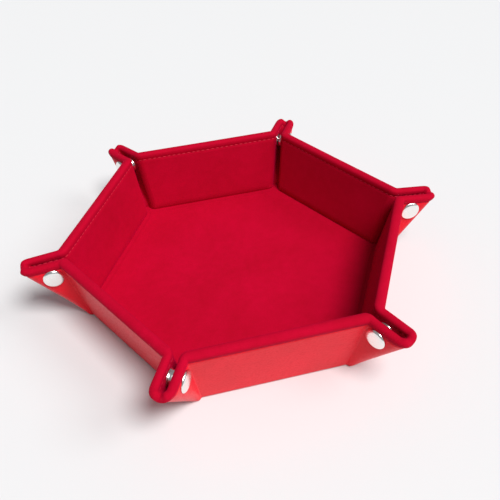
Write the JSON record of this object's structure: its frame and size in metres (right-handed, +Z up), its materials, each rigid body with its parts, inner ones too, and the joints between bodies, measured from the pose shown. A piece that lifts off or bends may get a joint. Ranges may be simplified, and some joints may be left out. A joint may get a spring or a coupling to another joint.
{
  "type": "dice tray",
  "caption": "Folding dice tray with a velvet floor, leather-covered walls and pinched corner ears held by snap fasteners; opens out flat for storage.",
  "frame": {"origin": "centre of the base's underside, on the surface the tray stands on", "axes": "+Z up through the tray's mouth; +X points to corner 1, between wall 6 and wall 1"},
  "size_m": [0.2426, 0.2142, 0.0458],
  "materials": {
    "leather": "smooth pebbled red leather with a soft sheen",
    "velvet": "short-pile crimson velvet",
    "board": "grey pasteboard stiffener",
    "snap_metal": "satin nickel plate"
  },
  "bodies": {
    "base": {"base_cover": "leather", "base_board": "board", "base_lining": "velvet"},
    "wall_1": {"wall_1_cover": "leather", "wall_1_board": "board", "wall_1_lining": "velvet"},
    "wall_2": {"wall_2_cover": "leather", "wall_2_board": "board", "wall_2_lining": "velvet"},
    "wall_3": {"wall_3_cover": "leather", "wall_3_board": "board", "wall_3_lining": "velvet"},
    "wall_4": {"wall_4_cover": "leather", "wall_4_board": "board", "wall_4_lining": "velvet"},
    "wall_5": {"wall_5_cover": "leather", "wall_5_board": "board", "wall_5_lining": "velvet"},
    "wall_6": {"wall_6_cover": "leather", "wall_6_board": "board", "wall_6_lining": "velvet"},
    "corner_1_left_panel": {"corner_1_left_panel": "leather", "corner_1_snap_socket": "snap_metal"},
    "corner_1_left_nose": {"corner_1_left_nose": "leather"},
    "corner_1_right_panel": {"corner_1_right_panel": "leather", "corner_1_snap_stud": "snap_metal"},
    "corner_1_right_nose": {"corner_1_right_nose": "leather"},
    "corner_2_left_panel": {"corner_2_left_panel": "leather", "corner_2_snap_socket": "snap_metal"},
    "corner_2_left_nose": {"corner_2_left_nose": "leather"},
    "corner_2_right_panel": {"corner_2_right_panel": "leather", "corner_2_snap_stud": "snap_metal"},
    "corner_2_right_nose": {"corner_2_right_nose": "leather"},
    "corner_3_left_panel": {"corner_3_left_panel": "leather", "corner_3_snap_socket": "snap_metal"},
    "corner_3_left_nose": {"corner_3_left_nose": "leather"},
    "corner_3_right_panel": {"corner_3_right_panel": "leather", "corner_3_snap_stud": "snap_metal"},
    "corner_3_right_nose": {"corner_3_right_nose": "leather"},
    "corner_4_left_panel": {"corner_4_left_panel": "leather", "corner_4_snap_socket": "snap_metal"},
    "corner_4_left_nose": {"corner_4_left_nose": "leather"},
    "corner_4_right_panel": {"corner_4_right_panel": "leather", "corner_4_snap_stud": "snap_metal"},
    "corner_4_right_nose": {"corner_4_right_nose": "leather"},
    "corner_5_left_panel": {"corner_5_left_panel": "leather", "corner_5_snap_socket": "snap_metal"},
    "corner_5_left_nose": {"corner_5_left_nose": "leather"},
    "corner_5_right_panel": {"corner_5_right_panel": "leather", "corner_5_snap_stud": "snap_metal"},
    "corner_5_right_nose": {"corner_5_right_nose": "leather"},
    "corner_6_left_panel": {"corner_6_left_panel": "leather", "corner_6_snap_socket": "snap_metal"},
    "corner_6_left_nose": {"corner_6_left_nose": "leather"},
    "corner_6_right_panel": {"corner_6_right_panel": "leather", "corner_6_snap_stud": "snap_metal"},
    "corner_6_right_nose": {"corner_6_right_nose": "leather"}
  },
  "joints": [
    {"name": "wall_1_fold", "type": "hinge", "parent": "base", "child": "wall_1", "pos_m": [0.0705, 0.0407, 0], "axis": [-0.5, 0.866, 0], "range_deg": [0, 75]},
    {"name": "wall_2_fold", "type": "hinge", "parent": "base", "child": "wall_2", "pos_m": [0, 0.08141, 0], "axis": [-1, 0, 0], "range_deg": [0, 75]},
    {"name": "wall_3_fold", "type": "hinge", "parent": "base", "child": "wall_3", "pos_m": [-0.0705, 0.0407, 0], "axis": [-0.5, -0.866, 0], "range_deg": [0, 75]},
    {"name": "wall_4_fold", "type": "hinge", "parent": "base", "child": "wall_4", "pos_m": [-0.0705, -0.0407, 0], "axis": [0.5, -0.866, 0], "range_deg": [0, 75]},
    {"name": "wall_5_fold", "type": "hinge", "parent": "base", "child": "wall_5", "pos_m": [0, -0.08141, 0], "axis": [1, 0, 0], "range_deg": [0, 75]},
    {"name": "wall_6_fold", "type": "hinge", "parent": "base", "child": "wall_6", "pos_m": [0.0705, -0.0407, 0], "axis": [0.5, 0.866, 0], "range_deg": [0, 75]},
    {"name": "corner_1_right_fold", "type": "hinge", "parent": "wall_1", "child": "corner_1_right_panel", "pos_m": [0.09054, 0.006, 0], "axis": [-0.2384, 0, -0.9712], "range_deg": [0, 58.4]},
    {"name": "corner_1_right_nose_bend", "type": "hinge", "parent": "corner_1_right_panel", "child": "corner_1_right_nose", "pos_m": [0.09156, 0.00471, -0.00077], "axis": [0.601, 0, 0.7992], "range_deg": [0, 86.6]},
    {"name": "corner_1_left_fold", "type": "hinge", "parent": "wall_6", "child": "corner_1_left_panel", "pos_m": [0.09054, -0.006, 0], "axis": [0.2384, 0, 0.9712], "range_deg": [0, 58.4]},
    {"name": "corner_1_left_nose_bend", "type": "hinge", "parent": "corner_1_left_panel", "child": "corner_1_left_nose", "pos_m": [0.09156, -0.00471, -0.00077], "axis": [-0.601, 0, -0.7992], "range_deg": [0, 86.6]},
    {"name": "corner_2_right_fold", "type": "hinge", "parent": "wall_2", "child": "corner_2_right_panel", "pos_m": [0.04007, 0.08141, 0], "axis": [-0.1192, -0.2064, -0.9712], "range_deg": [0, 58.4]},
    {"name": "corner_2_right_nose_bend", "type": "hinge", "parent": "corner_2_right_panel", "child": "corner_2_right_nose", "pos_m": [0.0417, 0.08165, -0.00077], "axis": [0.3005, 0.5205, 0.7992], "range_deg": [0, 86.6]},
    {"name": "corner_2_left_fold", "type": "hinge", "parent": "wall_1", "child": "corner_2_left_panel", "pos_m": [0.05046, 0.07541, 0], "axis": [0.1192, 0.2064, 0.9712], "range_deg": [0, 58.4]},
    {"name": "corner_2_left_nose_bend", "type": "hinge", "parent": "corner_2_left_panel", "child": "corner_2_left_nose", "pos_m": [0.04986, 0.07694, -0.00077], "axis": [-0.3005, -0.5205, -0.7992], "range_deg": [0, 86.6]},
    {"name": "corner_3_right_fold", "type": "hinge", "parent": "wall_3", "child": "corner_3_right_panel", "pos_m": [-0.05046, 0.07541, 0], "axis": [0.1192, -0.2064, -0.9712], "range_deg": [0, 58.4]},
    {"name": "corner_3_right_nose_bend", "type": "hinge", "parent": "corner_3_right_panel", "child": "corner_3_right_nose", "pos_m": [-0.04986, 0.07694, -0.00077], "axis": [-0.3005, 0.5205, 0.7992], "range_deg": [0, 86.6]},
    {"name": "corner_3_left_fold", "type": "hinge", "parent": "wall_2", "child": "corner_3_left_panel", "pos_m": [-0.04007, 0.08141, 0], "axis": [-0.1192, 0.2064, 0.9712], "range_deg": [0, 58.4]},
    {"name": "corner_3_left_nose_bend", "type": "hinge", "parent": "corner_3_left_panel", "child": "corner_3_left_nose", "pos_m": [-0.0417, 0.08165, -0.00077], "axis": [0.3005, -0.5205, -0.7992], "range_deg": [0, 86.6]},
    {"name": "corner_4_right_fold", "type": "hinge", "parent": "wall_4", "child": "corner_4_right_panel", "pos_m": [-0.09054, -0.006, 0], "axis": [0.2384, 0, -0.9712], "range_deg": [0, 58.4]},
    {"name": "corner_4_right_nose_bend", "type": "hinge", "parent": "corner_4_right_panel", "child": "corner_4_right_nose", "pos_m": [-0.09156, -0.00471, -0.00077], "axis": [-0.601, 0, 0.7992], "range_deg": [0, 86.6]},
    {"name": "corner_4_left_fold", "type": "hinge", "parent": "wall_3", "child": "corner_4_left_panel", "pos_m": [-0.09054, 0.006, 0], "axis": [-0.2384, 0, 0.9712], "range_deg": [0, 58.4]},
    {"name": "corner_4_left_nose_bend", "type": "hinge", "parent": "corner_4_left_panel", "child": "corner_4_left_nose", "pos_m": [-0.09156, 0.00471, -0.00077], "axis": [0.601, 0, -0.7992], "range_deg": [0, 86.6]},
    {"name": "corner_5_right_fold", "type": "hinge", "parent": "wall_5", "child": "corner_5_right_panel", "pos_m": [-0.04007, -0.08141, 0], "axis": [0.1192, 0.2064, -0.9712], "range_deg": [0, 58.4]},
    {"name": "corner_5_right_nose_bend", "type": "hinge", "parent": "corner_5_right_panel", "child": "corner_5_right_nose", "pos_m": [-0.0417, -0.08165, -0.00077], "axis": [-0.3005, -0.5205, 0.7992], "range_deg": [0, 86.6]},
    {"name": "corner_5_left_fold", "type": "hinge", "parent": "wall_4", "child": "corner_5_left_panel", "pos_m": [-0.05046, -0.07541, 0], "axis": [-0.1192, -0.2064, 0.9712], "range_deg": [0, 58.4]},
    {"name": "corner_5_left_nose_bend", "type": "hinge", "parent": "corner_5_left_panel", "child": "corner_5_left_nose", "pos_m": [-0.04986, -0.07694, -0.00077], "axis": [0.3005, 0.5205, -0.7992], "range_deg": [0, 86.6]},
    {"name": "corner_6_right_fold", "type": "hinge", "parent": "wall_6", "child": "corner_6_right_panel", "pos_m": [0.05046, -0.07541, 0], "axis": [-0.1192, 0.2064, -0.9712], "range_deg": [0, 58.4]},
    {"name": "corner_6_right_nose_bend", "type": "hinge", "parent": "corner_6_right_panel", "child": "corner_6_right_nose", "pos_m": [0.04986, -0.07694, -0.00077], "axis": [0.3005, -0.5205, 0.7992], "range_deg": [0, 86.6]},
    {"name": "corner_6_left_fold", "type": "hinge", "parent": "wall_5", "child": "corner_6_left_panel", "pos_m": [0.04007, -0.08141, 0], "axis": [0.1192, -0.2064, 0.9712], "range_deg": [0, 58.4]},
    {"name": "corner_6_left_nose_bend", "type": "hinge", "parent": "corner_6_left_panel", "child": "corner_6_left_nose", "pos_m": [0.0417, -0.08165, -0.00077], "axis": [-0.3005, 0.5205, -0.7992], "range_deg": [0, 86.6]}
  ],
  "couplings": [
    {"joint": "wall_2_fold", "follows": "wall_1_fold", "ratio": 1},
    {"joint": "wall_3_fold", "follows": "wall_1_fold", "ratio": 1},
    {"joint": "wall_4_fold", "follows": "wall_1_fold", "ratio": 1},
    {"joint": "wall_5_fold", "follows": "wall_1_fold", "ratio": 1},
    {"joint": "wall_6_fold", "follows": "wall_1_fold", "ratio": 1},
    {"joint": "corner_1_right_fold", "follows": "wall_1_fold", "ratio": 0.77846},
    {"joint": "corner_1_right_nose_bend", "follows": "wall_1_fold", "ratio": 1.1538},
    {"joint": "corner_1_left_fold", "follows": "wall_1_fold", "ratio": 0.77846},
    {"joint": "corner_1_left_nose_bend", "follows": "wall_1_fold", "ratio": 1.1538},
    {"joint": "corner_2_right_fold", "follows": "wall_1_fold", "ratio": 0.77846},
    {"joint": "corner_2_right_nose_bend", "follows": "wall_1_fold", "ratio": 1.1538},
    {"joint": "corner_2_left_fold", "follows": "wall_1_fold", "ratio": 0.77846},
    {"joint": "corner_2_left_nose_bend", "follows": "wall_1_fold", "ratio": 1.1538},
    {"joint": "corner_3_right_fold", "follows": "wall_1_fold", "ratio": 0.77846},
    {"joint": "corner_3_right_nose_bend", "follows": "wall_1_fold", "ratio": 1.1538},
    {"joint": "corner_3_left_fold", "follows": "wall_1_fold", "ratio": 0.77846},
    {"joint": "corner_3_left_nose_bend", "follows": "wall_1_fold", "ratio": 1.1538},
    {"joint": "corner_4_right_fold", "follows": "wall_1_fold", "ratio": 0.77846},
    {"joint": "corner_4_right_nose_bend", "follows": "wall_1_fold", "ratio": 1.1538},
    {"joint": "corner_4_left_fold", "follows": "wall_1_fold", "ratio": 0.77846},
    {"joint": "corner_4_left_nose_bend", "follows": "wall_1_fold", "ratio": 1.1538},
    {"joint": "corner_5_right_fold", "follows": "wall_1_fold", "ratio": 0.77846},
    {"joint": "corner_5_right_nose_bend", "follows": "wall_1_fold", "ratio": 1.1538},
    {"joint": "corner_5_left_fold", "follows": "wall_1_fold", "ratio": 0.77846},
    {"joint": "corner_5_left_nose_bend", "follows": "wall_1_fold", "ratio": 1.1538},
    {"joint": "corner_6_right_fold", "follows": "wall_1_fold", "ratio": 0.77846},
    {"joint": "corner_6_right_nose_bend", "follows": "wall_1_fold", "ratio": 1.1538},
    {"joint": "corner_6_left_fold", "follows": "wall_1_fold", "ratio": 0.77846},
    {"joint": "corner_6_left_nose_bend", "follows": "wall_1_fold", "ratio": 1.1538}
  ]
}
